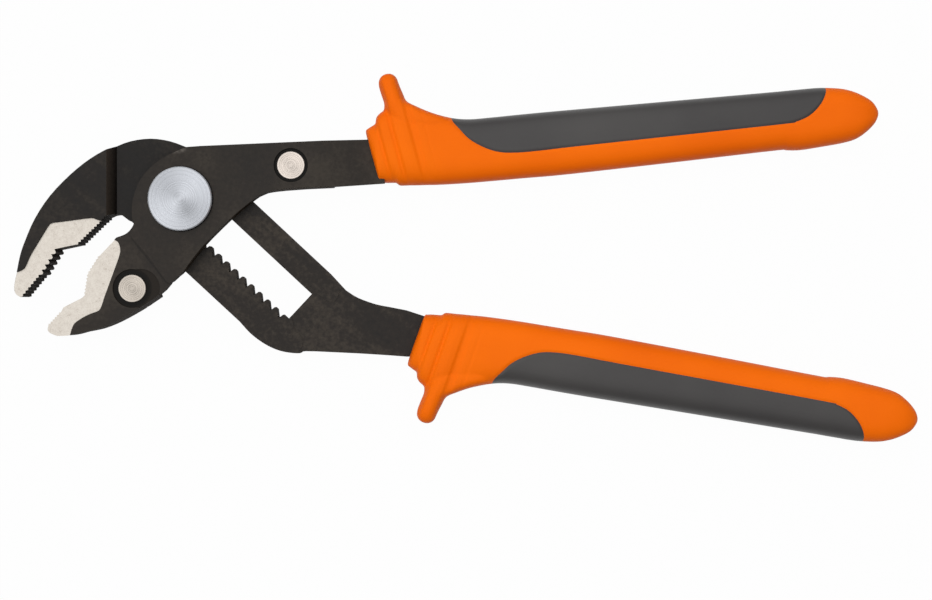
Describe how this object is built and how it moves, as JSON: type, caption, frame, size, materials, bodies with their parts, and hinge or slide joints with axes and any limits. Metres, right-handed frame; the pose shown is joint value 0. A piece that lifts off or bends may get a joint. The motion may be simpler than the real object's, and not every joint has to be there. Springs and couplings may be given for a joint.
{
  "type": "slip joint pliers",
  "caption": "Adjustable slip joint pliers with toothed jaws, a riveted box joint, a push-button lock on a toothed slot and two-tone grips with finger guards.",
  "frame": {"origin": "on the pivot axis, in the plane that the closed box's back lies in", "axes": "+X from the pivot along the handles, +Y towards the upper handle, +Z from the back to the push button"},
  "size_m": [0.2501, 0.1022, 0.0153],
  "materials": {
    "black_steel": "blackened, satin",
    "bright_steel": "fine turned rings, satin",
    "rivet_steel": "faced flush, satin",
    "spring_steel": "plain",
    "orange_grip": "moulded, soft sheen",
    "grey_inlay": "moulded, matt"
  },
  "bodies": {
    "box": {"front_half": "black_steel", "back_plate": "black_steel", "handle_rivet": "rivet_steel", "jaw_rivet": "rivet_steel", "upper_grip": "orange_grip", "upper_grip_inlay": "grey_inlay"},
    "pivot": {"pivot_pin": "spring_steel", "retaining_ring": "spring_steel", "button_spring": "spring_steel"},
    "button": {"push_button": "bright_steel", "lock_key": "spring_steel"},
    "arm": {"slotted_arm": "black_steel", "lower_grip": "orange_grip", "lower_grip_inlay": "grey_inlay"}
  },
  "joints": [
    {"name": "handle_turn", "type": "hinge", "parent": "box", "child": "pivot", "pos_m": [0, 0, 0], "axis": [0, 0, 1], "range_deg": [-30, 9.8]},
    {"name": "jaw_setting", "type": "slide", "parent": "pivot", "child": "arm", "axis": [-0.7314, 0.682, 0], "range_m": [0, 0.03732]},
    {"name": "button_press", "type": "slide", "parent": "pivot", "child": "button", "axis": [0, 0, -1], "range_m": [0, 0.0025], "stiffness_N_per_m": 800, "springref_m": -0.001, "deforming": ["button_spring"]}
  ]
}
